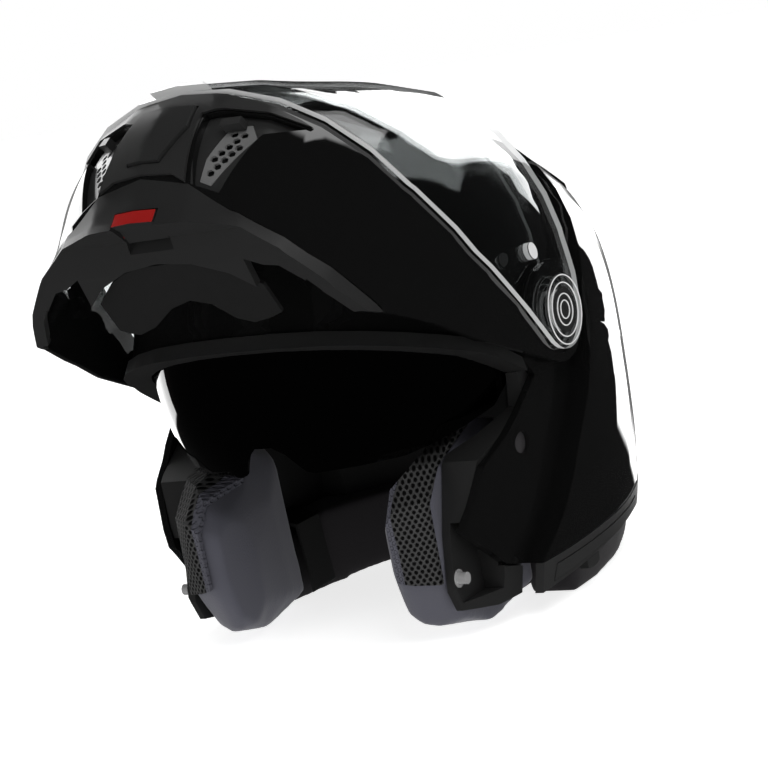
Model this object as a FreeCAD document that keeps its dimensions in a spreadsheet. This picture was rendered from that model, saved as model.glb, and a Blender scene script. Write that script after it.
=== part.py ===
import FreeCAD, Part
import math
import os
import Sketcher
from FreeCAD import Vector, Placement, Rotation

doc = FreeCAD.newDocument("modular_helmet")
sheet = doc.addObject("Spreadsheet::Sheet", "sizes")

# Driving dimensions, in millimetres and degrees. Angles about the hinge axis count
# from straight ahead of the wearer: 90 is up, 180 is back, -90 is down.
SIZES = (
    ("axis_height", 147.0, "hinge axis above the table"),
    ("axis_setback", 5.8, "hinge axis behind the middle of the whole"),
    ("fullness", 2.2, "exponent of the sections from side to side"),
    ("hub_share", 0.99, "where the flat disc at each hub starts, of the half width"),
    ("shell_half_width", 124.0, "half width of the shell at the hinge axis"),
    ("shell_wall", 4.0, "thickness of the outer shell"),
    ("shell_top", 124.0, "hinge axis to the top of the shell"),
    ("shell_ramp", 134.0, "hinge axis to the shell under the spoiler"),
    ("shell_back", 158.0, "hinge axis to the back of the shell"),
    ("shell_nape", 192.0, "hinge axis to the back rim of the shell"),
    ("shell_down", 258.0, "reach of the side sections below the hinge axis"),
    ("recess_half_width", 113.5, "half width of the recessed side under the chin bar arms"),
    ("recess_brow", 118.0, "hinge axis to the shell at the brow"),
    ("recess_front", 172.0, "reach of the recessed side straight ahead"),
    ("fit_gap", 0.4, "gap between neighbouring shells and soft parts"),
    ("chin_half_width", 120.5, "half width of the chin bar at its hubs"),
    ("chin_wall", 3.5, "thickness of the chin bar shell"),
    ("chin_reach", 191.0, "hinge axis to the front of the chin bar"),
    ("chin_top_reach", 177.0, "hinge axis to the top edge of the chin bar"),
    ("chin_travel", 78.0, "turn of the chin bar from raised to closed"),
    ("chin_hub_radius", 26.0, "radius of the arm's end round the hinge"),
    ("chin_hub_face", 118.3, "outer face of the arm's end"),
    ("pin_radius", 7.0, "radius of the chin bar's hinge pin"),
    ("running_fit", 0.05, "radial clearance of turning pins"),
    ("visor_half_width", 124.0, "half width of the visor at its hubs"),
    ("visor_wall", 2.7, "thickness of the visor"),
    ("visor_low_reach", 177.0, "hinge axis to the visor's lower edge"),
    ("visor_high_reach", 130.2, "hinge axis to the visor's upper edge"),
    ("visor_hub_radius", 19.5, "radius of the visor's round ends"),
    ("visor_pivot_radius", 10.3, "radius of the visor's hinge boss"),
    ("sun_half_width", 104.0, "half width of the sun visor at its pivots"),
    ("sun_reach", 112.0, "hinge axis to the sun visor"),
    ("sun_wall", 2.2, "thickness of the sun visor"),
    ("eps_half_width", 86.0, "half width of the cavity in the foam liner"),
    ("eps_top", 98.0, "hinge axis to the foam over the head"),
    ("eps_back", 122.0, "hinge axis to the foam behind the head"),
    ("pad_thickness", 6.0, "thickness of the crown lining"),
    ("rim_front", -134.0, "height of the rim at its front corners"),
    ("rim_rear", -122.0, "height of the rim behind the ears"),
    ("pad_bottom", -147.0, "height of the lowest padding"),
    ("trim_wall", 4.6, "thickness of the lower trim"),
    ("lever_width", 24.0, "width of the release lever"),
    ("striker_radius", 3.0, "radius of the latch pins"),
    ("plug_radius", 5.5, "radius of the round side plugs"),
    ("sun_pin_radius", 4.0, "radius of the sun visor's pivot pins"),
    ("fog_pin_radius", 4.2, "radius of the anti-fog insert's pins"),
)
for row, (alias, value, note) in enumerate(SIZES, start=1):
    sheet.set(f"A{row}", note)
    sheet.set(f"B{row}", str(value))
    sheet.setAlias(f"B{row}", alias)
doc.recompute()


def size(name):
    return float(sheet.get(name))


def bound(obj, prop, expression):
    obj.setExpression(prop, expression)


# The helmet's surfaces are barrels about the hinge axis: a closed side profile,
# drawn in to a flat disc at each hub by a superellipse from side to side.
STATION_SHARES = (0.0, 0.22, 0.42, 0.58, 0.72, 0.83, 0.91, 0.96)


def section_scale(share):
    power = size("fullness")
    return (1 - abs(share) ** power) ** (1 / power)


def polar(angle, radius):
    turn = math.radians(angle)
    return -radius * math.cos(turn), radius * math.sin(turn)


barrels = {}


def skin(sections):
    """Solid through flat sections with equal counts of points, in flat facets."""
    faces = [Part.Face(Part.makePolygon([*ends, ends[0]])) for ends in (sections[0], sections[-1])]
    for low, high in zip(sections, sections[1:]):
        for i in range(len(low)):
            a, b, c, d = low[i - 1], low[i], high[i], high[i - 1]
            if abs((b - a).cross(c - a).normalize() * (d - a)) < 1e-6:
                facets = ([a, b, c, d],)
            else:
                facets = ([a, b, c], [a, c, d])
            faces += [Part.Face(Part.makePolygon([*facet, facet[0]])) for facet in facets]
    return Part.makeSolid(Part.makeShell(faces))


def profile_curve(profile, offset, scale, x):
    points = []
    for angle in sorted(profile):
        y, z = polar(angle, (profile[angle] - offset) * scale)
        points.append(Vector(x, y, z))
    curve = Part.BSplineCurve()
    curve.interpolate(points, PeriodicFlag=True)
    return curve


def barrel(profile, half_width, offset=0.0, facets=0):
    """Solid inside a side profile {angle: radius}; offset moves its wall inward.
    Hidden and soft surfaces give a number of flat facets round the profile."""
    key = (tuple(profile.items()), half_width, round(offset, 3), facets)
    if key in barrels:
        return barrels[key]
    shares = [*STATION_SHARES, size("hub_share")]
    shares = [-s for s in reversed(shares) if s] + shares
    sections = []
    for share in shares:
        curve = profile_curve(profile, offset, section_scale(share), share * (half_width - offset))
        if facets:
            first, last = curve.FirstParameter, curve.LastParameter
            sections.append([curve.value(first + (last - first) * i / facets) for i in range(facets)])
        else:
            sections.append(Part.Wire([curve.toShape()]))
    barrels[key] = skin(sections) if facets else Part.makeLoft(sections, True, True)
    return barrels[key]


def side_prism(outline, low=-140.0, high=140.0):
    """Side-view outline [(y, z), ...] drawn through from x = low to x = high."""
    points = [Vector(low, y, z) for y, z in outline]
    face = Part.Face(Part.makePolygon([*points, points[0]]))
    return face.extrude(Vector(high - low, 0, 0))


def disc(radius, low, high, y=0.0, z=0.0):
    return Part.makeCylinder(radius, high - low, Vector(low, y, z), Vector(1, 0, 0))


def both_sides(shape):
    """The shape and its mirror image across the middle plane, as one group."""
    mirrored = shape.mirror(Vector(0, 0, 0), Vector(1, 0, 0))
    return Part.makeCompound([*shape.Solids, *mirrored.Solids])


def shifted(outline, dy, dz):
    return [(y + dy, z + dz) for y, z in outline]


def section_loft(sections):
    """Soft form through flat sections {x: [(y, z), ...]} with straight facets."""
    return skin([[Vector(x, y, z) for y, z in sections[x]] for x in sorted(sections)])


def radial_prism(outline, angle, low, high):
    """Outline [(x, up), ...] on the plane square to the direction angle, drawn
    from the distance low to the distance high from the hinge axis."""
    turn = math.radians(angle)
    out = Vector(0, -math.cos(turn), math.sin(turn))
    along = Vector(0, math.sin(turn), math.cos(turn))
    points = [out * low + along * up + Vector(x, 0, 0) for x, up in outline]
    face = Part.Face(Part.makePolygon([*points, points[0]]))
    return face.extrude(out * (high - low))


parts = {}


def home():
    return Placement(Vector(0, size("axis_setback"), size("axis_height")), Rotation())


def add(name, shape):
    """A sub-part whose shape is set here, in the frame of the hinge axis."""
    obj = doc.addObject("Part::Feature", name)
    obj.Label = name
    solids = shape.Solids
    obj.Shape = solids[0] if len(solids) == 1 else Part.makeCompound(solids)
    obj.Placement = home()
    parts[name] = obj
    return obj


# Side profiles of the surfaces.
SHELL_PROFILE = {
    -90: size("shell_down"), -110: size("shell_down") - 3, -130: 222, -144: size("shell_nape"),
    -160: 170, 180: size("shell_back"), 157: 145, 146: size("shell_ramp"), 136: 126, 120: 123.5,
    90: size("shell_top"), 60: size("shell_top"), 30: 124, 0: 142, -30: 178, -55: 215, -72: 243,
}
RECESS_PROFILE = {
    -90: size("shell_down") - 12, -110: 243, -130: 210, -144: size("shell_nape") - 12,
    -160: 159, 180: size("shell_back") - 11, 157: 138, 146: 129, 136: 124, 120: 122.5,
    90: size("shell_top") - 0.5, 60: size("shell_top") - 1, 31: 121.5, 12: size("recess_brow"),
    -5: 146, -23: size("recess_front"), -40: 182, -50: 189, -57: 203, -65: 222, -78: 240,
}
CHIN_PROFILE = {
    -12: 252, 0: 248, 13: 231, 18: 218, 23: 205, 28: 194, 35: size("chin_reach"), 45: 186,
    55: size("chin_top_reach"), 70: 176, 90: 176, 130: 180, 180: 200, -130: 235, -60: 252,
}
VISOR_PROFILE = {
    55: size("visor_low_reach"), 62: 161.5, 70: 147.5, 80: 137, 90: 131.5, 100: 129.5,
    109: size("visor_high_reach"), 116: 133, 140: 140, 180: 150, -130: 170, -60: 185, 0: 192, 45: 190,
}
SUN_PROFILE = {angle: size("sun_reach") for angle in range(-165, 181, 15)}
CAVITY_PROFILE = {
    30: 94, 60: 96, 90: size("eps_top"), 120: 104, 150: 116, 180: size("eps_back"), -160: 122,
    -144: 128, -125: 170, -90: 260, -60: 240, -30: 150, 0: 100,
}

# Side-view lines, as (y, z) from the hinge axis.
RIDGE = [(-44, -118), (-42, -116), (-23, -96), (-7, -69), (9.5, -46), (20, -26), (26.6, -9)]
STEP = [(28, 12), (35, 24), (64, 74), (93, 97), (130, 130)]
BROW = [(-300, 60), (-124, 27), (-112, 22), (-60, 1), (-34, -15)]
PANEL_FRONT = [(-22, -27), (-51, -50), (-69, -61), (-82, -90), (-57, -114)]
TRIM_TOP = [(-44, -118), (60, -114), (123, -108), (300, -97)]
RIM = [(-44, size("rim_front")), (88, size("rim_rear")), (150, size("rim_rear") + 10), (300, -95)]
VISOR_LOW = [(-14, -14), (-33, 7), (-62, 43), (-86, 82), (-103, 124), (-112, 146), (-121, 168)]
VISOR_HIGH = [(19, 4), (20, 34), (24, 62), (27, 90), (35, 114), (43, 125), (52, 140)]
ARM_LOW = [(-12, -23), (-48, -9), (-77, 3), (-97, 14), (-131, 30)]
CHIN_RIM = [(-149, 64), (-157, 89), (-156.5, 110), (-200, 150)]
CHIN_BASE = [(-140, 33), (-149, 45), (-158, 66), (-161, 81), (-169, 87.5), (-215, 110)]


def shell_form(inset, facets=0):
    """The helmet's outside, with its recess for the chin bar, moved in by inset."""
    rear = [*RIDGE, *STEP, (300, 300), (300, -300), (-44, -300)]
    front = barrel(RECESS_PROFILE, size("recess_half_width"), inset, facets)
    back = barrel(SHELL_PROFILE, size("shell_half_width"), inset, facets)
    back = back.common(side_prism(shifted(rear, inset, 0)))
    return front.fuse(back)


FRAME_FRONT = [(-31, -23.5), (-28, -41), (-68, -58), (-80, -90), (-86, -119), (-81, -130)]
FRAME_BACK = [(-60, -134), (-44.4, -133), (-38, -112), (-56, -92), (-50, -72), (-12, -52), (-6, -24)]
EPS_FRONT = [(-300, 52), (-110, 46), (-50, 18), (-10, -6), (-5, -24), (-11, -52.6), (-49, -72.5)]
EPS_FRONT += [(-55, -92), (-37, -112.5), (-37, -400), (-300, -400)]
INSERT = [(-33, -122), (60, -118.5), (72, -117), (76, -119.5), (70, -123), (-35, -131)]
MASK = [(0, -22.5), (17, -23), (25, -27.5), (20.5, 14), (30, 17.5), (50, 17.5), (68, 14.2)]
MASK += [(63, 17), (45, 24.2), (20, 29.8), (0, 30.8)]
BAY = [(27.5, -28), (22.3, 13), (31, 16), (50, 16), (66, 13), (52, 3.5), (40.5, -31)]
GRILLE = [(29, -24.5), (34, -26), (48, 2.5), (43, 11), (35, 8.5), (29.5, -12)]
FLAP = [(-9, -16), (9, -16), (18, 4), (15.5, 19), (-15.5, 19), (-18, 4)]
FRONT_ANGLE = 42
STRIKER = (-80.5, -113.5)
HOOK_PIVOT = (-110, 72)
HOOK_TURN = 24
LEVER_PIVOT = (-161.1, 83.9)
LEVER_PIN = 1.2
FLAP_HINGE = (37.45, 187.8)
FLAP_ROD = 1.2
FLAP_GAP = 0.8
HOOK_PIN = 2.5
PLUG = (-40, -57)


def mirrored_outline(outline):
    return [(-x, up) for x, up in reversed(outline)]


def grown(outline, by):
    """An outline with each side moved outward by the given distance."""
    pairs = list(zip(outline, [*outline[1:], outline[0]]))
    turn = 1 if sum(p[0] * q[1] - q[0] * p[1] for p, q in pairs) > 0 else -1
    lines = []
    for (x0, y0), (x1, y1) in pairs:
        run = math.hypot(x1 - x0, y1 - y0)
        nx, ny = turn * (y1 - y0) / run, -turn * (x1 - x0) / run
        lines.append((nx, ny, nx * x0 + ny * y0 + by))
    moved = []
    for (a0, b0, c0), (a1, b1, c1) in zip([lines[-1], *lines[:-1]], lines):
        cross = a0 * b1 - a1 * b0
        moved.append(((c0 * b1 - c1 * b0) / cross, (a0 * c1 - a1 * c0) / cross))
    return moved


def box(x0, x1, y0, y1, z0, z1):
    return Part.makeBox(x1 - x0, y1 - y0, z1 - z0, Vector(x0, y0, z0))


def layer(profile, half_width, outer, inner, area, facets=0):
    """The part of an area that lies between two depths under a surface."""
    area = area.common(barrel(profile, half_width, outer, facets))
    return area.cut(barrel(profile, half_width, inner, facets))


def turned(point, degrees):
    """A side-view point turned about the hinge axis, positive as the chin bar closes."""
    turn = math.radians(degrees)
    y, z = point
    return y * math.cos(turn) - z * math.sin(turn), y * math.sin(turn) + z * math.cos(turn)


RECESS_W = size("recess_half_width")
CHIN_W = size("chin_half_width")
VISOR_W = size("visor_half_width")
SUN_W = size("sun_half_width")
GAP = size("fit_gap")
WALL = size("shell_wall")
TRIM = size("trim_wall")

# Facets round the profile of hidden and soft surfaces, and of the sun visor.
HIDDEN = 40
ROUND = 72
sun_outside = barrel(SUN_PROFILE, SUN_W, -1.3, ROUND)


def outer_shell():
    wall = shell_form(0).cut(shell_form(WALL, HIDDEN))
    opening = [*BROW, *PANEL_FRONT, *TRIM_TOP, (300, -400), (-300, -400)]
    wall = wall.cut(side_prism(opening))
    vent = radial_prism([(-22, -9), (22, -9), (26, 9), (-26, 9)], 62, 90, 140)
    wall = wall.cut(vent)
    plug = disc(size("plug_radius") + 0.1, 90, 130, *PLUG)
    wall = wall.cut(both_sides(plug))
    return wall.cut(disc(size("pin_radius") + size("running_fit"), -130, 130))


def lower_trim():
    outline = [*shifted(TRIM_TOP, 0.4, -GAP), *reversed(shifted(RIM, 0.4, 0))]
    band = layer(SHELL_PROFILE, size("shell_half_width"), -0.6, TRIM - 0.6, side_prism(outline))
    pocket = layer(SHELL_PROFILE, size("shell_half_width"), -3, 0.9, side_prism(INSERT, 60, 140))
    return band.cut(both_sides(pocket))


def trim_inserts():
    area = side_prism(grown(INSERT, -GAP), 60, 140)
    return both_sides(layer(SHELL_PROFILE, size("shell_half_width"), -1.0, 0.7, area))


def eps_liner():
    foam = barrel(RECESS_PROFILE, RECESS_W, WALL + GAP, HIDDEN)
    slot = barrel(RECESS_PROFILE, RECESS_W, WALL, HIDDEN)
    slot = slot.cut(barrel(SUN_PROFILE, SUN_W, size("sun_wall") + 1.6, ROUND))
    wedge = [(24, -30), (-300, -300), (-300, 300), (-44, 300), (10, 40), (24, 20)]
    foam = foam.cut(slot.common(side_prism(wedge)))
    foam = foam.cut(barrel(CAVITY_PROFILE, size("eps_half_width"), 0, HIDDEN))
    foam = foam.cut(box(-84, 84, -60, 60, -140, -30))
    foam = foam.cut(disc(4.3, -120, 120, 12, -66))
    foam = foam.cut(side_prism(EPS_FRONT))
    foam = foam.cut(box(-200, 200, -300, 300, -400, -103.5))
    vent = radial_prism([(-26, -13), (26, -13), (30, 13), (-30, 13)], 62, 112, 140)
    return foam.cut(vent)


def crown_pad():
    outline = [(-84, 50), (-40, 30), (20, 10), (95, -42), (128, -95), (200, -95), (200, 200)]
    outline += [(-200, 200), (-200, 60)]
    depth = size("pad_thickness") + GAP
    return layer(CAVITY_PROFILE, size("eps_half_width"), GAP, depth, side_prism(outline), HIDDEN)


def neck_roll():
    roll = barrel(SHELL_PROFILE, size("shell_half_width"), TRIM + 0.6, HIDDEN)
    bottom = size("pad_bottom")
    outline = [(-3, -104), (300, -104), (300, -126), (140, -134), (90, bottom + 4)]
    outline += [(40, bottom), (-3, bottom)]
    roll = roll.common(side_prism(outline))
    hole = Part.Ellipse(Vector(0, 90, -200), Vector(74, -12, -200), Vector(0, -12, -200))
    column = Part.Face(Part.Wire([hole.toShape()])).extrude(Vector(0, 0, 140))
    roll = roll.cut(column)
    return roll.cut(both_sides(box(60, 84, -10, 25, -110, -101)))


def cheek_pad():
    bottom = size("pad_bottom")
    pad = section_loft({
        50: [(-90, -84), (-80, -77), (-66, -82), (-60, -100),
             (-62, -128), (-72, -136), (-84, -130), (-90, -108)],
        57: [(-95, -81), (-86, -69), (-50, -66), (-30, -80),
             (-28, -134), (-58, -143), (-82, -137), (-95, -110)],
        64: [(-94, -74), (-80, -62), (-36, -50), (-8, -64),
             (-5, -140), (-45, bottom), (-78, -139), (-92, -112)],
        76.4: [(-85, -74), (-71, -59), (-26, -44), (-5, -50),
               (-5, -140), (-45, bottom), (-71, -137), (-86, -114)],
    })
    back = [(-5, -56), (-10, -56), (-47, -76), (-53, -92), (-36, -112.6), (-36, -138), (-5, -139)]
    return pad.fuse(side_prism(back, 76, 80.5))


def cheek_mesh():
    return section_loft({
        57: [(-95.4, -110), (-95.4, -81), (-86, -68.5), (-50, -65.5),
             (-50, -62), (-88, -65), (-98, -80), (-97.5, -110)],
        64: [(-92.4, -112), (-94.4, -74), (-80, -61.6), (-36, -49.6),
             (-36, -45.5), (-82, -58), (-98, -73), (-95.5, -112)],
        76.4: [(-86.4, -114), (-85.4, -74), (-71, -58.6), (-26, -43.6),
               (-26, -40.5), (-73, -56), (-88.6, -72), (-89.5, -114)],
    })


def side_frame():
    outline = [*FRAME_FRONT, *FRAME_BACK]
    frame = side_prism(outline, 77, 130).common(barrel(RECESS_PROFILE, RECESS_W, WALL + GAP, HIDDEN))
    corner = [(-80.5, -91), (-57.5, -115), (-44.4, -119), (-44.4, -133), (-60, -134), (-81, -130), (-86, -119)]
    corner = side_prism(corner, 77, 130).common(barrel(RECESS_PROFILE, RECESS_W, 0.3, HIDDEN))
    frame = frame.fuse(corner).cut(sun_outside)
    frame = frame.cut(box(81.5, 130, -100, -58, -126, -86))
    frame = frame.cut(disc(size("plug_radius") + 0.1, 96.8, 130, *PLUG))
    return frame.cut(disc(size("striker_radius"), 78.5, 90, *STRIKER))


def brow_gasket():
    strip = barrel(RECESS_PROFILE, RECESS_W, -2.0).cut(sun_outside)
    outline = [(-140, 31), (-112, 21.5), (-60, 0.5), (-34, -15.6), (-31.5, -23), (-60, -7)]
    outline += [(-112, 13.5), (-140, 23)]
    return strip.common(side_prism(outline))


def sun_visor():
    outline = [(-10, -10), (-37, -38), (-77, -50.5), (-140, -54), (-140, 46), (-100, 38)]
    outline += [(-40, 24), (-6, 12)]
    body = side_prism(outline).fuse(disc(14, -130, 130))
    arch = [(-29, -60), (-27, -17.5), (-18, -13.5), (-11, -2), (-5, 3)]
    arch += mirrored_outline(arch)
    body = body.cut(radial_prism(arch, -20, 60, 140))
    lens = layer(SUN_PROFILE, SUN_W, 0, size("sun_wall"), body, ROUND)
    return lens.cut(disc(size("sun_pin_radius") + size("running_fit"), -130, 130))


def sun_visor_pivots():
    pin = disc(size("sun_pin_radius"), 99.8, 108.3).fuse(disc(9, 103.7, 108.3))
    return both_sides(pin)


def rear_spoiler():
    """A wedge on the ramp, its top carrying on the shell's line to a sharp rear edge."""
    outline = [(134.6, 120), (135.2, 127.4), (140.6, 131.8), (147, 138.4), (152.5, 147), (157.4, 156)]
    outline += [(158.8, 156), (160.5, 148), (160, 138), (150, 124), (134.6, 112)]
    sections = {}
    for x in (0, 24, 48, 66, 74):
        scale = section_scale(x / size("shell_half_width")) * (1 if x < 70 else 0.985)
        sections[x] = [polar(angle, radius * scale) for angle, radius in outline]
        sections[-x] = sections[x]
    wing = section_loft(sections)
    return wing.cut(barrel(SHELL_PROFILE, size("shell_half_width"), -0.3))


def top_vent_base():
    area = radial_prism([(-21.6, -8.6), (21.6, -8.6), (25.6, 8.6), (-25.6, 8.6)], 62, 90, 140)
    area = area.cut(radial_prism([(-9, -6), (9, -6), (9, 6.5), (-9, 6.5)], 62, 90, 140))
    return layer(RECESS_PROFILE, RECESS_W, 0.3, WALL - 0.3, area)


def top_vent_slider():
    area = radial_prism([(-8.6, -5.6), (8.6, -5.6), (8.6, 0), (-8.6, 0)], 62, 90, 140)
    return layer(RECESS_PROFILE, RECESS_W, -0.7, WALL - 0.5, area)


def chin_region():
    top = shifted(VISOR_LOW, -0.8, -0.5)
    return [*ARM_LOW, *CHIN_RIM, (-200, 190), *reversed(top)]


def chin_bar_shell():
    arm = side_prism(chin_region()).fuse(disc(size("chin_hub_radius"), -130, 130))
    shell = layer(CHIN_PROFILE, CHIN_W, 0, size("chin_wall"), arm)
    for low, high in ((size("chin_hub_face"), 130), (-130, -size("chin_hub_face"))):
        shell = shell.cut(disc(size("visor_hub_radius") + 2, low, high))
    shell = shell.cut(disc(size("pin_radius") + size("running_fit"), -130, 130))
    for outline in (BAY, mirrored_outline(BAY)):
        shell = shell.cut(radial_prism(outline, FRONT_ANGLE, 120, 210))
    shell = shell.cut(radial_prism(grown(FLAP, FLAP_GAP), FRONT_ANGLE, 120, 210))
    return shell.cut(disc(FLAP_ROD + size("running_fit"), -13.2, 13.2, *polar(*FLAP_HINGE)))


def front_mask():
    outline = [*MASK, *mirrored_outline(MASK)[1:-1]]
    area = radial_prism(outline, FRONT_ANGLE, 100, 210)
    area = area.cut(radial_prism(grown(FLAP, FLAP_GAP), FRONT_ANGLE, 90, 220))
    return layer(CHIN_PROFILE, CHIN_W, -1.6, -0.2, area)


def chin_vent_flap():
    flap = layer(CHIN_PROFILE, CHIN_W, -3.4, 2.0, radial_prism(FLAP, FRONT_ANGLE, 120, 210))
    return flap.fuse(disc(FLAP_ROD, -12.8, 12.8, *polar(*FLAP_HINGE)))


def vent_bays():
    area = radial_prism(grown(BAY, 3), FRONT_ANGLE, 120, 210)
    area = area.cut(radial_prism(grown(GRILLE, 0.3), FRONT_ANGLE, 100, 220))
    return both_sides(layer(CHIN_PROFILE, CHIN_W, size("chin_wall") + 0.2, size("chin_wall") + 1.7, area))


def inside(point, outline, margin):
    """Whether a point lies in a counter-clockwise convex outline, margin away from its sides."""
    for (x0, y0), (x1, y1) in zip(outline, [*outline[1:], outline[0]]):
        run = math.hypot(x1 - x0, y1 - y0)
        if ((x1 - x0) * (point[1] - y0) - (y1 - y0) * (point[0] - x0)) / run < margin:
            return False
    return True


def side_grilles():
    plate = radial_prism(GRILLE, FRONT_ANGLE, 120, 210)
    plate = layer(CHIN_PROFILE, CHIN_W, size("chin_wall") + 0.2, size("chin_wall") + 1.4, plate)
    cell, pitch = 1.9, 4.5
    holes = []
    for row in range(-8, 9):
        for column in range(0, 14):
            centre = (26 + (column + 0.5 * (row % 2)) * pitch, row * pitch * math.sqrt(3) / 2)
            if inside(centre, GRILLE, cell + 0.6):
                corners = [(centre[0] + cell * math.sin(math.radians(60 * i)),
                            centre[1] + cell * math.cos(math.radians(60 * i))) for i in range(6)]
                holes.append(radial_prism(corners, FRONT_ANGLE, 140, 200))
    return both_sides(plate.cut(Part.makeCompound(holes)))


def vent_slider(side):
    outline = [(side * x, up) for x, up in ((34, 4), (42, 7), (41, 12), (33.5, 9))]
    area = radial_prism(outline, FRONT_ANGLE, 120, 210)
    return layer(CHIN_PROFILE, CHIN_W, -2.6, size("chin_wall") - 0.6, area)


def side_relief():
    """The space that the chin's inner plate leaves beside each cheek pad."""
    turn = math.radians(20)
    out = Vector(0, -math.cos(turn), math.sin(turn))
    along = Vector(0, math.sin(turn), math.cos(turn))
    edge = ((49, 60), (49, 171), (58, 168), (66, 167), (80, 158), (80, 60))
    points = [Vector(x, 0, 0) + out * reach - along * 60 for x, reach in edge]
    return Part.Face(Part.makePolygon([*points, points[0]])).extrude(along * 120)


def chin_lower_trim():
    rim = shifted(CHIN_RIM, -0.3, -GAP)
    band = side_prism([(-132, 30.2), *rim, (-215, 150), *reversed(CHIN_BASE)])
    strip = [*CHIN_BASE, *reversed(shifted(CHIN_BASE, 3.5, 2.5))]
    trim = layer(CHIN_PROFILE, CHIN_W, 0, size("chin_wall"), band)
    plate = layer(CHIN_PROFILE, CHIN_W, 0, 31, side_prism(strip, -76.5, 76.5))
    trim = trim.fuse(plate.cut(both_sides(side_relief())))
    for low, high in ((76, 118), (-118, -76)):
        trim = trim.fuse(layer(CHIN_PROFILE, CHIN_W, 0, 7, side_prism(strip, low, high)))
    reach = math.hypot(*STRIKER)
    for low, high in ((81, 91), (-91, -81)):
        channel = disc(reach + 5.2, low, high).cut(disc(reach - 5.2, low, high))
        trim = trim.cut(channel)
    width = size("lever_width") / 2 + 0.8
    trim = trim.cut(radial_prism([(-width, -15), (width, -15), (width, 3.4), (-width, 3.4)], 29, 176, 215))
    return trim.cut(disc(LEVER_PIN + size("running_fit"), -16, 16, *LEVER_PIVOT))


def release_lever():
    width = size("lever_width") / 2
    corners = ((29.8, 200), (27.9, 200), (27.7, 187), (26.7, 179), (28.6, 179), (29.8, 186))
    side = [polar(*corner) for corner in corners]
    lever = side_prism(side, -width, width).common(barrel(CHIN_PROFILE, CHIN_W, -0.5))
    return lever.fuse(disc(LEVER_PIN, -15.6, 15.6, *LEVER_PIVOT))


def chin_eps():
    outline = [*shifted(CHIN_BASE, 9, 11), (-200, 160), (-200, 190)]
    outline += reversed(shifted(VISOR_LOW, -4, -3))
    return layer(CHIN_PROFILE, CHIN_W, 6, 20, side_prism(outline, -56, 56), HIDDEN)


def chin_curtain():
    sections = {}
    edges = ((0, -155.9, 67.7, -139, 47), (12, -155.4, 67.6, -138.5, 44), (24, -153.9, 65.6, -138, 36))
    edges += ((34, -151.4, 61.6, -138, 33), (42, -148.3, 56, -136, 34), (48.5, -145.5, 51.5, -135, 36))
    for x, top_y, top_z, low_y, low_z in edges:
        outline = [(top_y, top_z), (low_y, low_z), (low_y + 1.6, low_z + 1.2), (top_y + 1.6, top_z + 1.2)]
        sections[x] = outline
        sections[-x] = outline
    return section_loft(sections)


def visor_shell():
    outline = [*VISOR_LOW, *reversed(VISOR_HIGH)]
    area = side_prism(outline).fuse(disc(size("visor_hub_radius"), -130, 130))
    lens = layer(VISOR_PROFILE, VISOR_W, 0, size("visor_wall"), area)
    tab = radial_prism([(-17, 32.4), (17, 32.4), (13, 35.6), (-13, 35.6)], FRONT_ANGLE, 140, 210)
    tab = layer(VISOR_PROFILE, VISOR_W, -4.5, size("visor_wall"), tab)
    lens = lens.fuse(tab).cut(disc(size("visor_pivot_radius"), -130, 130))
    return lens.cut(fog_pins(size("fog_pin_radius") + 0.1))


def fog_pins(radius):
    pin = Part.makeCylinder(radius, 16, Vector(110, -18, 33), Vector(1, -0.04, 0.08))
    return both_sides(pin)


def anti_fog_insert():
    low = [(-40, 20), (-66, 58), (-88, 98), (-98, 128), (-106, 152)]
    high = [(-6, 34), (8, 58), (13, 90), (22, 114), (32, 134)]
    area = side_prism([*low, *reversed(high)])
    lens = layer(VISOR_PROFILE, VISOR_W, size("visor_wall") + 0.2, size("visor_wall") + 1.0, area, ROUND)
    return lens.cut(fog_pins(size("fog_pin_radius") + 0.1))


def anti_fog_pins():
    pins = fog_pins(size("fog_pin_radius"))
    return pins.common(barrel(VISOR_PROFILE, VISOR_W, -0.5)).cut(barrel(VISOR_PROFILE, VISOR_W, 4.6))


def latch_hooks():
    """Two hook plates in the raised bar, waiting open for the latch pins."""
    throat = turned(STRIKER, -size("chin_travel"))
    angle = math.atan2(throat[1], -throat[0])
    jaw = [(28, -10), (26, -5.5), (21, -4.5), (8.5, 1.5), (8, 4.5), (3.7, 4.5), (3.5, 0), (2.5, -2.5)]
    jaw += [(0, -3.5), (-2.5, -2.5), (-3.5, 0), (-3.7, 4.5), (-6.5, 4), (-8, 0), (-8, -5), (-4, -8)]
    jaw += [(8, -10), (20, -14.5), (26, -14)]
    outline = []
    open_turn = math.radians(HOOK_TURN)
    for along, out in jaw:
        y = throat[0] + along * math.sin(angle) - out * math.cos(angle) - HOOK_PIVOT[0]
        z = throat[1] + along * math.cos(angle) + out * math.sin(angle) - HOOK_PIVOT[1]
        outline.append((HOOK_PIVOT[0] + y * math.cos(open_turn) - z * math.sin(open_turn),
                        HOOK_PIVOT[1] + y * math.sin(open_turn) + z * math.cos(open_turn)))
    hook = side_prism(outline, 82, 85)
    hook = hook.cut(disc(HOOK_PIN + size("running_fit"), 80, 90, *HOOK_PIVOT))
    return both_sides(hook)


def hook_mounts():
    """Brackets inside the bar that carry the hooks' pins."""
    outline = [(-104, 66), (-116, 66), (-124, 78), (-116, 90), (-98, 84), (-100, 70)]
    foot = layer(CHIN_PROFILE, CHIN_W, size("chin_wall") + GAP, 40, side_prism(outline, 78.2, 81.8))
    pin = disc(HOOK_PIN, 81.8, 86.2, *HOOK_PIVOT)
    head = disc(HOOK_PIN + 2, 85.2, 86.2, *HOOK_PIVOT)
    return both_sides(foot.fuse(pin).fuse(head))


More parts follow.
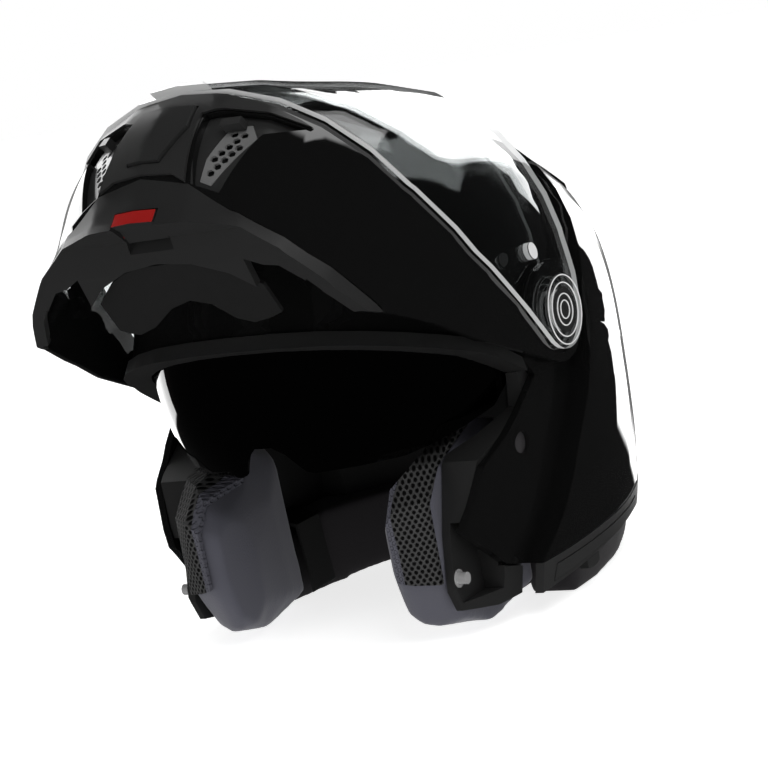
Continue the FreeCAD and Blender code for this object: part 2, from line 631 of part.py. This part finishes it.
def strap(side, length):
    """Webbing from the shell's side over the neck roll and down its inner wall."""
    line = [(82, -62), (82, -99), (66, -104.5), (63.2, length)]
    back = [(x - 0.8, z + 0.8) for x, z in line]
    loop = [Vector(side * (x + 0.8), 1, z - 0.8) for x, z in line]
    loop += [Vector(side * x, 1, z) for x, z in reversed(back)]
    return Part.Face(Part.makePolygon([*loop, loop[0]])).extrude(Vector(0, 22, 0))


def strap_left():
    loop = box(58.6, 67.8, 1, 23, -141.4, -134.5)
    for x in (60.1, 63.5):
        loop = loop.cut(box(x, x + 2.8, 0, 24, -139.4, -136.6))
    return strap(1, -136).cut(box(55, 70, 0, 24, -150, -134.5)).fuse(loop)


def d_rings():
    """Two wire rings whose upper bars run through the loop of the left strap."""
    rings = []
    for x in (60.3, 63.7):
        outer = box(x, x + 2.4, -3, 27, -146, -136.8)
        rings.append(outer.cut(box(x - 1, x + 4, -0.6, 24.6, -143.6, -139.2)))
    return Part.makeCompound(rings)


def sun_visor_slider():
    """Thumb slide on the rim that lowers and stows the sun visor."""
    outline = [(-2, -130.6), (12, -129.3), (12, -133.5), (8, -135), (2, -135.4), (-2, -134.6)]
    return side_prism(outline, 105.9, 110.6)


def chin_arm_plates():
    plate = disc(21, 114, 115.7).fuse(box(114, 115.7, -34, 0, -9, 7))
    return both_sides(plate.cut(disc(size("pin_radius") + size("running_fit"), 110, 120)))


def cylinder(name, radius, low, high, y="0", z="0"):
    """A cylinder along X whose sizes follow the sheet."""
    obj = doc.addObject("Part::Cylinder", name)
    obj.Placement = Placement(Vector(0, 0, 0), Rotation(Vector(0, 1, 0), 90))
    bound(obj, "Radius", radius)
    bound(obj, "Height", f"({high}) - ({low})")
    bound(obj, "Placement.Base.x", f"1 mm * ({low})")
    bound(obj, "Placement.Base.y", f"1 mm * ({y})")
    bound(obj, "Placement.Base.z", f"1 mm * ({z})")
    return obj


def pair(name, pieces):
    """The named sub-part: a turned piece on the left and its mirror image."""
    whole = pieces[0]
    if len(pieces) > 1:
        whole = doc.addObject("Part::MultiFuse", name + "_whole")
        whole.Shapes = pieces
    mirrored = doc.addObject("Part::Mirroring", name + "_mirrored")
    mirrored.Source = whole
    mirrored.Normal = Vector(1, 0, 0)
    group = doc.addObject("Part::Compound", name)
    group.Links = [whole, mirrored]
    group.Label = name
    group.Placement = home()
    parts[name] = group


S = "<<sizes>>."


def turned_parts():
    pin = S + "pin_radius"
    pair("pivot_pins", [cylinder("pin_stem", pin, "108.5", "118.2")])
    boss = f"{S}visor_pivot_radius - {S}running_fit"
    pair("visor_bosses", [cylinder("boss_stem", boss, S + "chin_hub_face", "123.4"),
                          cylinder("boss_cap", f"{S}visor_pivot_radius + 1.2", "122.9", "123.4")])
    striker = S + "striker_radius"
    y, z = (str(v) for v in STRIKER)
    pair("striker_pins", [cylinder("striker_stem", striker, "78.6", "86.6", y, z),
                          cylinder("striker_flange", striker + " + 1.6", "81.6", "81.9", y, z)])
    pair("strap_rivets", [cylinder("rivet_stem", "4", "82.9", "106", "12", "-66")])
    y, z = (str(v) for v in PLUG)
    pair("side_plugs", [cylinder("plug_stem", S + "plug_radius", "97", "106.5", y, z)])


def sketched_plate(name, radius, bore, low, high):
    """A round plate padded from a sketch of two circles."""
    body = doc.addObject("PartDesign::Body", name + "_body")
    sketch = body.newObject("Sketcher::SketchObject", name + "_sketch")
    sketch.Placement = Placement(Vector(0, 0, 0), Rotation(Vector(0, 1, 0), 90))
    bound(sketch, "Placement.Base.x", f"1 mm * ({low})")
    for expression, start in ((radius, 20), (bore, 5)):
        index = sketch.addGeometry(Part.Circle(Vector(0, 0, 0), Vector(0, 0, 1), start), False)
        sketch.addConstraint(Sketcher.Constraint("Coincident", index, 3, -1, 1))
        rule = sketch.addConstraint(Sketcher.Constraint("Radius", index, start))
        bound(sketch, f"Constraints[{rule}]", expression)
    pad = body.newObject("PartDesign::Pad", name + "_pad")
    pad.Profile = sketch
    bound(pad, "Length", f"({high}) - ({low})")
    return body


add("outer_shell", outer_shell())
add("lower_trim", lower_trim())
add("trim_inserts", trim_inserts())
add("eps_liner", eps_liner())
add("crown_pad", crown_pad())
add("neck_roll", neck_roll())
twins = {"cheek_pad": cheek_pad(), "cheek_mesh": cheek_mesh(), "side_frame": side_frame()}
for name, shape in twins.items():
    add(name + "_left", shape)
    add(name + "_right", shape.mirror(Vector(0, 0, 0), Vector(1, 0, 0)))
add("brow_gasket", brow_gasket())
add("sun_visor", sun_visor())
add("sun_visor_pivots", sun_visor_pivots())
add("rear_spoiler", rear_spoiler())
add("top_vent_base", top_vent_base())
add("top_vent_slider", top_vent_slider())
add("chin_bar_shell", chin_bar_shell())
add("front_mask", front_mask())
add("chin_vent_flap", chin_vent_flap())
add("vent_bays", vent_bays())
add("side_grilles", side_grilles())
add("vent_slider_left", vent_slider(1))
add("vent_slider_right", vent_slider(-1))
add("chin_lower_trim", chin_lower_trim())
add("release_lever", release_lever())
add("chin_eps", chin_eps())
add("chin_curtain", chin_curtain())
add("visor_shell", visor_shell())
add("anti_fog_insert", anti_fog_insert())
add("anti_fog_pins", anti_fog_pins())
add("latch_hooks", latch_hooks())
add("hook_mounts", hook_mounts())
add("strap_left", strap_left())
add("strap_right", strap(-1, -142))
add("d_rings", d_rings())
add("sun_visor_slider", sun_visor_slider())
add("chin_arm_plates", chin_arm_plates())
turned_parts()
bore = f"{S}pin_radius + {S}running_fit"
pair("pivot_plates", [sketched_plate("hub_plate", "23", bore, "112.5", "113.6")])
doc.recompute()
for obj in doc.Objects:
    if "Invalid" in obj.State or "Error" in obj.State:
        raise RuntimeError(obj.Name + " failed to recompute")
os.makedirs("parts", exist_ok=True)
for name, obj in parts.items():
    if obj.Shape.isNull() or not obj.Shape.isValid():
        raise RuntimeError(name + " has no valid shape")
    obj.Shape.exportStep(f"parts/{name}.step")
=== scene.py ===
"""Looks for the modular helmet: finishes, soft lining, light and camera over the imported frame."""
import math

import bpy
from mathutils import Matrix, Vector


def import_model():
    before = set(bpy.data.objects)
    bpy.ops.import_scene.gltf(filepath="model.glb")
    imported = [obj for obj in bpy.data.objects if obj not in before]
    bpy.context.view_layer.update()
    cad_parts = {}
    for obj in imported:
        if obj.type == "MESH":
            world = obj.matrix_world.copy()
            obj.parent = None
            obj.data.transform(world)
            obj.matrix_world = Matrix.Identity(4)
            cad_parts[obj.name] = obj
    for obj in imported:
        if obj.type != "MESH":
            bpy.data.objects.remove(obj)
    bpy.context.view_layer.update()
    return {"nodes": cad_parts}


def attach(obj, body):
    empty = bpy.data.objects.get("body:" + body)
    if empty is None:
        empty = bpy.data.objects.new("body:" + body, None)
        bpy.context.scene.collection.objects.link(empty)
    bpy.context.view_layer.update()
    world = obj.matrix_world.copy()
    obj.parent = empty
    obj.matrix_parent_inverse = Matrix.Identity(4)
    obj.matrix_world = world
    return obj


bpy.ops.wm.read_factory_settings(use_empty=True)
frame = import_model()
nodes = frame["nodes"]

MM = 0.001

# The camera, placed from the hinge axis. Its angle is from the photograph's vanishing point.
HINGE = Vector((0.0, 5.8 * MM, 147.0 * MM))
CAMERA_FROM_HINGE = Vector((685.3, -1050.2, 178.4)) * MM
CAMERA_RIGHT = Vector((0.8419, 0.5038, -0.1934))
CAMERA_UP = Vector((0.0777, 0.2415, 0.9673))
CAMERA_BACK = Vector((0.534, -0.8294, 0.1642))
LENS = 112.5
SENSOR = 36.0
FAR_CLIP = 50.0

WHITE = (1.0, 1.0, 1.0, 1.0)


def grey(value):
    return (value, value, value, 1.0)


class Graph:
    """Small helper to build a shader's nodes."""

    def __init__(self, tree):
        self.tree = tree
        tree.nodes.clear()

    def add(self, kind, **settings):
        node = self.tree.nodes.new(kind)
        for key, value in settings.items():
            setattr(node, key, value)
        return node

    def link(self, source, target):
        self.tree.links.new(source, target)

    def feed(self, target, value):
        if isinstance(value, bpy.types.NodeSocket):
            self.link(value, target)
        else:
            target.default_value = value

    def math(self, operation, a, b=0.0):
        node = self.add("ShaderNodeMath", operation=operation)
        self.feed(node.inputs[0], a)
        self.feed(node.inputs[1], b)
        return node.outputs[0]

    def map_range(self, value, start, end, interpolation="LINEAR"):
        """Runs from 0 to 1 as the value goes from start to end."""
        node = self.add("ShaderNodeMapRange", interpolation_type=interpolation)
        self.feed(node.inputs["Value"], value)
        node.inputs["From Min"].default_value = start
        node.inputs["From Max"].default_value = end
        return node.outputs[0]

    def mix(self, factor, first, second):
        node = self.add("ShaderNodeMixShader")
        self.feed(node.inputs[0], factor)
        self.link(first, node.inputs[1])
        self.link(second, node.inputs[2])
        return node.outputs[0]

    def colour(self, factor, first, second):
        node = self.add("ShaderNodeMix", data_type="RGBA")
        self.feed(node.inputs[0], factor)
        self.feed(node.inputs[6], first)
        self.feed(node.inputs[7], second)
        return node.outputs[2]

    def facing(self):
        """0 where a surface looks at the eye, 1 where it is seen edge on."""
        node = self.add("ShaderNodeLayerWeight")
        node.inputs["Blend"].default_value = 0.5
        return node.outputs["Facing"]

    def noise(self, scale):
        place = self.add("ShaderNodeTexCoord")
        node = self.add("ShaderNodeTexNoise")
        node.inputs["Scale"].default_value = scale
        self.link(place.outputs["Object"], node.inputs["Vector"])
        return node.outputs["Fac"]

    def bump(self, shader, height, strength, distance):
        node = self.add("ShaderNodeBump")
        node.inputs["Strength"].default_value = strength
        node.inputs["Distance"].default_value = distance
        self.link(height, node.inputs["Height"])
        self.link(node.outputs["Normal"], shader.inputs["Normal"])

    def finish(self, surface, kind="ShaderNodeOutputMaterial"):
        out = self.add(kind)
        self.link(surface, out.inputs["Surface"])


def material(name):
    made = bpy.data.materials.new(name)
    made.use_nodes = True
    return made, Graph(made.node_tree)


def principled(graph, **inputs):
    shader = graph.add("ShaderNodeBsdfPrincipled")
    for key, value in inputs.items():
        graph.feed(shader.inputs[key.replace("_", " ")], value)
    return shader


GRAIN_SCALE = 1400.0
GRAIN_DEPTH = 0.2 * MM


def plain(name, colour, roughness, grain=0.0, **inputs):
    """A solid finish, with an optional fine grain."""
    made, graph = material(name)
    shader = principled(graph, Base_Color=colour, Roughness=roughness, **inputs)
    if grain:
        graph.bump(shader, graph.noise(GRAIN_SCALE), grain, GRAIN_DEPTH)
    graph.finish(shader.outputs[0])
    return made


# Where the painted shade at the outline starts and ends, in facing from head on to edge on.
OUTLINE_SHADE_START = 0.86
OUTLINE_SHADE_END = 0.93


def gloss_paint(name):
    """Deep black paint under lacquer, with painted shade: a dull darker finish in place of its
    reflection where it turns away at the outline.
    """
    made, graph = material(name)
    lacquer = principled(graph, Base_Color=grey(0.004), Roughness=0.03,
                         Coat_Weight=1.0, Coat_Roughness=0.02)
    # Painted shade at the outline: a dull, darker black replaces the lacquer's edge-on reflection.
    outline_painted_shade = principled(graph, Base_Color=grey(0.002), Roughness=0.6, Specular_IOR_Level=0.1)
    painted_shade_at_outline = graph.map_range(graph.facing(), OUTLINE_SHADE_START, OUTLINE_SHADE_END, "SMOOTHSTEP")
    graph.finish(graph.mix(painted_shade_at_outline, lacquer.outputs[0], outline_painted_shade.outputs[0]))
    return made


LENS_ROUGHNESS = 0.015
EDGE_ON_POWER = 5.0


def lens_material(name, tint, head_on):
    """A thin clear or smoked lens: straight through, with its surface reflections."""
    made, graph = material(name)
    through = graph.add("ShaderNodeBsdfTransparent")
    through.inputs["Color"].default_value = tint
    shine = graph.add("ShaderNodeBsdfGlossy")
    shine.inputs["Color"].default_value = WHITE
    shine.inputs["Roughness"].default_value = LENS_ROUGHNESS
    rise = graph.math("POWER", graph.facing(), EDGE_ON_POWER)
    share = graph.math("ADD", graph.math("MULTIPLY", rise, 1.0 - head_on), head_on)
    graph.finish(graph.mix(share, through.outputs[0], shine.outputs[0]))
    return made


# A whole number of pitches that keeps the lattice's coordinates above zero.
LATTICE_SHIFT = 500.0


def lattice(graph, across, up, pitch_across, pitch_up):
    """Distance from the nearest point of a staggered lattice, in pitches across."""
    distances = []
    for shift in (0.0, 0.5):
        parts = []
        for value, pitch in ((across, pitch_across), (up, pitch_up)):
            scaled = graph.math("DIVIDE", value, pitch)
            moved = graph.math("ADD", scaled, shift + LATTICE_SHIFT)
            centred = graph.math("SUBTRACT", graph.math("FRACT", moved), 0.5)
            parts.append(graph.math("MULTIPLY", centred, pitch / pitch_across))
        squares = [graph.math("MULTIPLY", part, part) for part in parts]
        distances.append(graph.math("SQRT", graph.math("ADD", *squares)))
    return graph.math("MINIMUM", *distances)


PAD_COLOUR = (0.075, 0.075, 0.094, 1.0)
# The mesh starts this far from the middle, and the pad's cloth covers what is nearer.
MESH_EDGE = 60.5 * MM
MESH_PITCH_ACROSS = 3.6 * MM
MESH_PITCH_UP = 4.6 * MM
MESH_LEAN = 0.55
HOLE_RADIUS = 0.2
THREAD_RADIUS = 0.34
MESH_DEPTH = 1.2 * MM


def spacer_mesh():
    """Black three-dimensional knit with staggered round holes, the holes painted near black as shade."""
    made, graph = material("spacer_mesh")
    place = graph.add("ShaderNodeTexCoord")
    split = graph.add("ShaderNodeSeparateXYZ")
    graph.link(place.outputs["Object"], split.inputs[0])
    sideways = graph.math("ABSOLUTE", split.outputs[0])
    across = graph.math("ADD", sideways, graph.math("MULTIPLY", split.outputs[1], MESH_LEAN))
    reach = lattice(graph, across, split.outputs[2], MESH_PITCH_ACROSS, MESH_PITCH_UP)
    thread = graph.map_range(reach, HOLE_RADIUS, THREAD_RADIUS)
    # The holes are near black as painted shade, where the real openings fall into shadow; the threads
    # keep their own dark grey.
    knit_and_hole_shade = graph.colour(thread, grey(0.002), grey(0.045))
    cloth = graph.math("LESS_THAN", sideways, MESH_EDGE)
    shader = principled(graph, Base_Color=graph.colour(cloth, knit_and_hole_shade, PAD_COLOUR), Roughness=0.8)
    graph.bump(shader, thread, 1.0, MESH_DEPTH)
    graph.finish(shader.outputs[0])
    return made


KNIT_SCALE = 900.0
KNIT_STRENGTH = 0.35
KNIT_DEPTH = 0.4 * MM


def knit(name, colour, sheen):
    """A fine knitted cloth with a soft bloom."""
    made, graph = material(name)
    shader = principled(graph, Base_Color=colour, Roughness=0.9, Sheen_Weight=sheen, Sheen_Roughness=0.4)
    graph.bump(shader, graph.noise(KNIT_SCALE), KNIT_STRENGTH, KNIT_DEPTH)
    graph.finish(shader.outputs[0])
    return made


GLOSS = gloss_paint("gloss_black")
SATIN = plain("satin_black", grey(0.02), 0.36)
MATTE = plain("matte_black", grey(0.016), 0.45, grain=0.25)
TRIM = plain("trim_black", grey(0.024), 0.4, grain=0.15)
FOAM = plain("foam_black", grey(0.012), 0.75)
RUBBER = plain("rubber_black", grey(0.012), 0.55)
SILVER = plain("grille_silver", grey(0.3), 0.34, Metallic=0.6)
STEEL = plain("steel", grey(0.5), 0.25, Metallic=1.0)
CHROME = plain("chrome", grey(0.6), 0.2, Metallic=0.6)
RED = plain("lever_red", (0.28, 0.006, 0.005, 1.0), 0.35)
WEBBING = plain("webbing", grey(0.012), 0.8, grain=0.6)
CLEAR = lens_material("clear_lens", (0.93, 0.94, 0.94, 1.0), 0.05)
INSERT = lens_material("insert_lens", (0.95, 0.96, 0.96, 1.0), 0.03)
SMOKE = lens_material("smoke_lens", (0.045, 0.04, 0.04, 1.0), 0.05)
PAD = knit("pad_knit", PAD_COLOUR, 0.25)
# Painted light: a light grey that glows a little, standing in for the light that clear lens edges and
# pin ends catch.
EDGE = plain("lens_edge_painted_glow", grey(0.55), 0.2, Emission_Color=WHITE, Emission_Strength=0.12)
HUB = plain("hub_clear", grey(0.02), 0.1, Coat_Weight=1.0)
CURTAIN = plain("curtain_fabric", grey(0.007), 0.9, grain=0.4)
LINING = knit("lining_knit", (0.018, 0.016, 0.018, 1.0), 0.1)
KNIT_MESH = spacer_mesh()

FINISHES = {
    GLOSS: ("outer_shell", "rear_spoiler", "chin_bar_shell"),
    SATIN: ("front_mask", "chin_vent_flap", "vent_bays", "vent_slider_left", "vent_slider_right",
            "top_vent_base", "top_vent_slider"),
    MATTE: ("side_frame_left", "side_frame_right", "chin_lower_trim", "sun_visor_pivots", "hook_mounts",
            "sun_visor_slider", "pivot_plates"),
    TRIM: ("lower_trim", "trim_inserts"),
    FOAM: ("eps_liner", "chin_eps"),
    RUBBER: ("brow_gasket",),
    SILVER: ("side_grilles",),
    STEEL: ("pivot_pins", "chin_arm_plates", "latch_hooks", "d_rings", "strap_rivets"),
    CHROME: ("striker_pins",),
    RED: ("release_lever",),
    WEBBING: ("strap_left", "strap_right"),
    CLEAR: ("visor_shell",),
    HUB: ("visor_bosses", "anti_fog_pins"),
    INSERT: ("anti_fog_insert",),
    SMOKE: ("sun_visor",),
    PAD: ("cheek_pad_left", "cheek_pad_right"),
    LINING: ("crown_pad", "neck_roll", "side_plugs"),
    CURTAIN: ("chin_curtain",),
    KNIT_MESH: ("cheek_mesh_left", "cheek_mesh_right"),
}
for finish, names in FINISHES.items():
    for name in names:
        mesh = nodes[name].data
        mesh.materials.clear()
        mesh.materials.append(finish)


def paint(name, finish, chosen):
    """Gives a second finish to the faces of a node that chosen(centre, normal) picks."""
    mesh = nodes[name].data
    mesh.materials.append(finish)
    for face in mesh.polygons:
        if chosen(face.center, face.normal):
            face.material_index = len(mesh.materials) - 1


# Cosines that tell a solid's faces apart.
RIM_FACE = 0.45
CAP_FACE = 0.75
FRONT_FACE = 0.6


def cuts_wall(centre, normal):
    """Picks the faces that cut through a shell round the hinge, and not its two sides."""
    return abs((centre - HINGE).normalized().dot(normal)) < RIM_FACE


def faces_sideways(centre, normal):
    return abs(normal.x) > CAP_FACE


def faces_inward(centre, normal):
    """Picks the faces of the lever that don't look away from the hinge."""
    outward = centre - HINGE
    outward.x = 0.0
    return outward.normalized().dot(normal) <= FRONT_FACE


# Painted glow: the visor's cut walls and the pins' outward ends take the glowing edge finish.
paint("visor_shell", EDGE, cuts_wall)
paint("anti_fog_pins", EDGE, faces_sideways)
paint("release_lever", MATTE, faces_inward)

RING_RADII = (17.5 * MM, 13.6 * MM, 8.0 * MM, 4.6 * MM)
RING_WIRE = 0.35 * MM
RING_FACE = 123.45 * MM
RING_TURNS = 48
RING_SECTION = 6


def hub_rings():
    """The ribs moulded in the clear round ends of the visor, as fine raised circles in the glowing edge
    finish, a painted highlight.
    """
    for side in (1, -1):
        points, faces = [], []
        for radius in RING_RADII:
            start = len(points)
            for i in range(RING_TURNS):
                around = 2 * math.pi * i / RING_TURNS
                for j in range(RING_SECTION):
                    tilt = 2 * math.pi * j / RING_SECTION
                    reach = radius + RING_WIRE * math.cos(tilt)
                    points.append(HINGE + Vector((side * (RING_FACE + RING_WIRE * math.sin(tilt)),
                                                  reach * math.cos(around), reach * math.sin(around))))
            for i in range(RING_TURNS):
                for j in range(RING_SECTION):
                    a, b = i * RING_SECTION + j, i * RING_SECTION + (j + 1) % RING_SECTION
                    c = (b + RING_SECTION) % (RING_TURNS * RING_SECTION)
                    d = (a + RING_SECTION) % (RING_TURNS * RING_SECTION)
                    faces.append([start + k for k in (a, b, c, d)])
        mesh = bpy.data.meshes.new("hub_rings")
        mesh.from_pydata(points, [], faces)
        mesh.materials.append(EDGE)
        mesh.shade_smooth()
        rings = bpy.data.objects.new("visor_hub_rings_" + ("left" if side > 0 else "right"), mesh)
        bpy.context.scene.collection.objects.link(rings)
        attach(rings, "visor")


hub_rings()

WELD = 0.02 * MM
GLOSS_SHARP = math.radians(42.0)
OTHER_SHARP = math.radians(26.0)
GLOSS_PIECES = (*FINISHES[GLOSS], "visor_shell", "anti_fog_insert", "sun_visor", "lower_trim")
SOFT_PIECES = ("cheek_pad_left", "cheek_pad_right", "neck_roll", "crown_pad")


def shading_group(limit):
    """Welds a tessellated solid and shades it round, with its true edges kept sharp."""
    group = bpy.data.node_groups.new("round_shading", "GeometryNodeTree")
    group.interface.new_socket("Geometry", in_out="INPUT", socket_type="NodeSocketGeometry")
    group.interface.new_socket("Geometry", in_out="OUTPUT", socket_type="NodeSocketGeometry")
    start = group.nodes.new("NodeGroupInput")
    end = group.nodes.new("NodeGroupOutput")
    merge = group.nodes.new("GeometryNodeMergeByDistance")
    merge.inputs["Distance"].default_value = WELD
    faces = group.nodes.new("GeometryNodeSetShadeSmooth")
    faces.domain = "FACE"
    edges = group.nodes.new("GeometryNodeSetShadeSmooth")
    edges.domain = "EDGE"
    edges.inputs["Shade Smooth"].default_value = False
    angle = group.nodes.new("GeometryNodeInputMeshEdgeAngle")
    sharp = group.nodes.new("FunctionNodeCompare")
    sharp.operation = "GREATER_THAN"
    sharp.inputs[1].default_value = limit
    group.links.new(start.outputs[0], merge.inputs["Geometry"])
    group.links.new(merge.outputs[0], faces.inputs["Geometry"])
    group.links.new(faces.outputs[0], edges.inputs["Geometry"])
    group.links.new(angle.outputs["Unsigned Angle"], sharp.inputs[0])
    group.links.new(sharp.outputs[0], edges.inputs["Selection"])
    group.links.new(edges.outputs[0], end.inputs[0])
    return group


gloss_rounding = shading_group(GLOSS_SHARP)
other_rounding = shading_group(OTHER_SHARP)
for name, node in nodes.items():
    if name not in SOFT_PIECES:
        rounding = gloss_rounding if name in GLOSS_PIECES else other_rounding
        node.modifiers.new("shading", "NODES").node_group = rounding


def soften(name, voxel, rounds):
    """Rounds a cut-foam solid into a sewn pad."""
    pad = nodes[name]
    remesh = pad.modifiers.new("skin", "REMESH")
    remesh.mode = "VOXEL"
    remesh.voxel_size = voxel
    remesh.use_smooth_shade = True
    smooth = pad.modifiers.new("round", "SMOOTH")
    smooth.factor = 0.5
    smooth.iterations = rounds
    return pad


for name in ("cheek_pad_left", "cheek_pad_right"):
    soften(name, 2.0 * MM, 14)
soften("neck_roll", 2.5 * MM, 10)
soften("crown_pad", 2.5 * MM, 4)

FLOOR_HALF = 6.0
FLOOR_GLOW = 0.78
floor_mesh = bpy.data.meshes.new("floor")
corners = [(x * FLOOR_HALF, y * FLOOR_HALF, 0) for x, y in ((-1, -1), (1, -1), (1, 1), (-1, 1))]
floor_mesh.from_pydata(corners, [], [(0, 1, 2, 3)])
floor = bpy.data.objects.new("floor", floor_mesh)
bpy.context.scene.collection.objects.link(floor)
floor_mesh.materials.append(plain("floor_white", grey(0.8), 0.9,
                                  Emission_Color=WHITE, Emission_Strength=FLOOR_GLOW))
floor.visible_glossy = False


def direction(azimuth, elevation):
    """Unit vector from degrees; azimuth 0 is ahead of the wearer, 90 their left."""
    turn, rise = math.radians(azimuth), math.radians(elevation)
    return Vector((math.sin(turn) * math.cos(rise), -math.cos(turn) * math.cos(rise), math.sin(rise)))


# Each panel: azimuth, elevation, half width and half height in degrees, softness of its edges.
BACKDROP = ((187.5, 6.5, 15.5, 21.5, 0.02), (238.0, 6.5, 20.0, 21.5, 0.02))
OVERHEAD = (150.0, 52.0, 12.0, 14.0, 0.06)
BACKDROP_LEVEL = 3.0
OVERHEAD_LEVEL = 2.0
DARK_LEVEL = 0.012
FILL_LEVEL = 0.35
SEEN_LEVEL = 1.0
LEAST_DEPTH = 0.001


def world():
    """White behind, dark in reflections but for the backdrop and one box overhead."""
    made = bpy.data.worlds.new("studio")
    made.use_nodes = True
    graph = Graph(made.node_tree)
    place = graph.add("ShaderNodeTexCoord")

    def along(vector):
        node = graph.add("ShaderNodeVectorMath", operation="DOT_PRODUCT")
        graph.link(place.outputs["Generated"], node.inputs[0])
        node.inputs[1].default_value = vector
        return node.outputs["Value"]

    def panel(azimuth, elevation, half_across, half_up, soft):
        """A white rectangle seen in a direction."""
        ahead = direction(azimuth, elevation)
        across = direction(azimuth + 90.0, 0.0)
        depth = graph.math("MAXIMUM", along(ahead), LEAST_DEPTH)
        mask = graph.math("GREATER_THAN", along(ahead), 0.0)
        for side, half in ((across, half_across), (ahead.cross(across), half_up)):
            offset = graph.math("ABSOLUTE", graph.math("DIVIDE", along(side), depth))
            limit = math.tan(math.radians(half))
            inside = graph.map_range(offset, limit + soft, limit, "SMOOTHSTEP")
            mask = graph.math("MULTIPLY", mask, inside)
        return mask

    def background(strength):
        node = graph.add("ShaderNodeBackground")
        node.inputs["Color"].default_value = WHITE
        graph.feed(node.inputs["Strength"], strength)
        return node.outputs[0]

    backdrop = graph.math("ADD", panel(*BACKDROP[0]), panel(*BACKDROP[1]))
    shine = graph.math("ADD", graph.math("MULTIPLY", backdrop, BACKDROP_LEVEL),
                       graph.math("MULTIPLY", panel(*OVERHEAD), OVERHEAD_LEVEL))
    shine = graph.math("ADD", shine, DARK_LEVEL)
    path = graph.add("ShaderNodeLightPath")
    lit = graph.mix(path.outputs["Is Glossy Ray"], background(FILL_LEVEL), background(shine))
    clear = graph.math("MAXIMUM", path.outputs["Is Camera Ray"], path.outputs["Is Transmission Ray"])
    graph.finish(graph.mix(clear, lit, background(SEEN_LEVEL)), "ShaderNodeOutputWorld")
    bpy.context.scene.world = made


world()


def area_light(name, azimuth, elevation, distance, width, power):
    """A soft square light that faces the hinge and isn't seen in reflections."""
    away = direction(azimuth, elevation)
    data = bpy.data.lights.new(name, "AREA")
    data.shape = "SQUARE"
    data.size = width
    data.energy = power
    light = bpy.data.objects.new(name, data)
    bpy.context.scene.collection.objects.link(light)
    light.location = HINGE + away * distance
    light.rotation_euler = away.to_track_quat("Z", "Y").to_euler()
    light.visible_glossy = False


area_light("key", 60.0, 50.0, 1.6, 1.0, 12.0)
area_light("fill", -40.0, 15.0, 1.8, 1.2, 5.0)
area_light("rim", 200.0, 45.0, 1.8, 1.2, 12.0)

camera_data = bpy.data.cameras.new("camera")
camera_data.lens = LENS
camera_data.sensor_width = SENSOR
camera_data.clip_end = FAR_CLIP
camera = bpy.data.objects.new("camera", camera_data)
bpy.context.scene.collection.objects.link(camera)
turned = Matrix((CAMERA_RIGHT, CAMERA_UP, CAMERA_BACK)).transposed().to_4x4()
camera.matrix_world = Matrix.Translation(HINGE + CAMERA_FROM_HINGE) @ turned
bpy.context.scene.camera = camera
bpy.context.scene.view_settings.view_transform = "Standard"
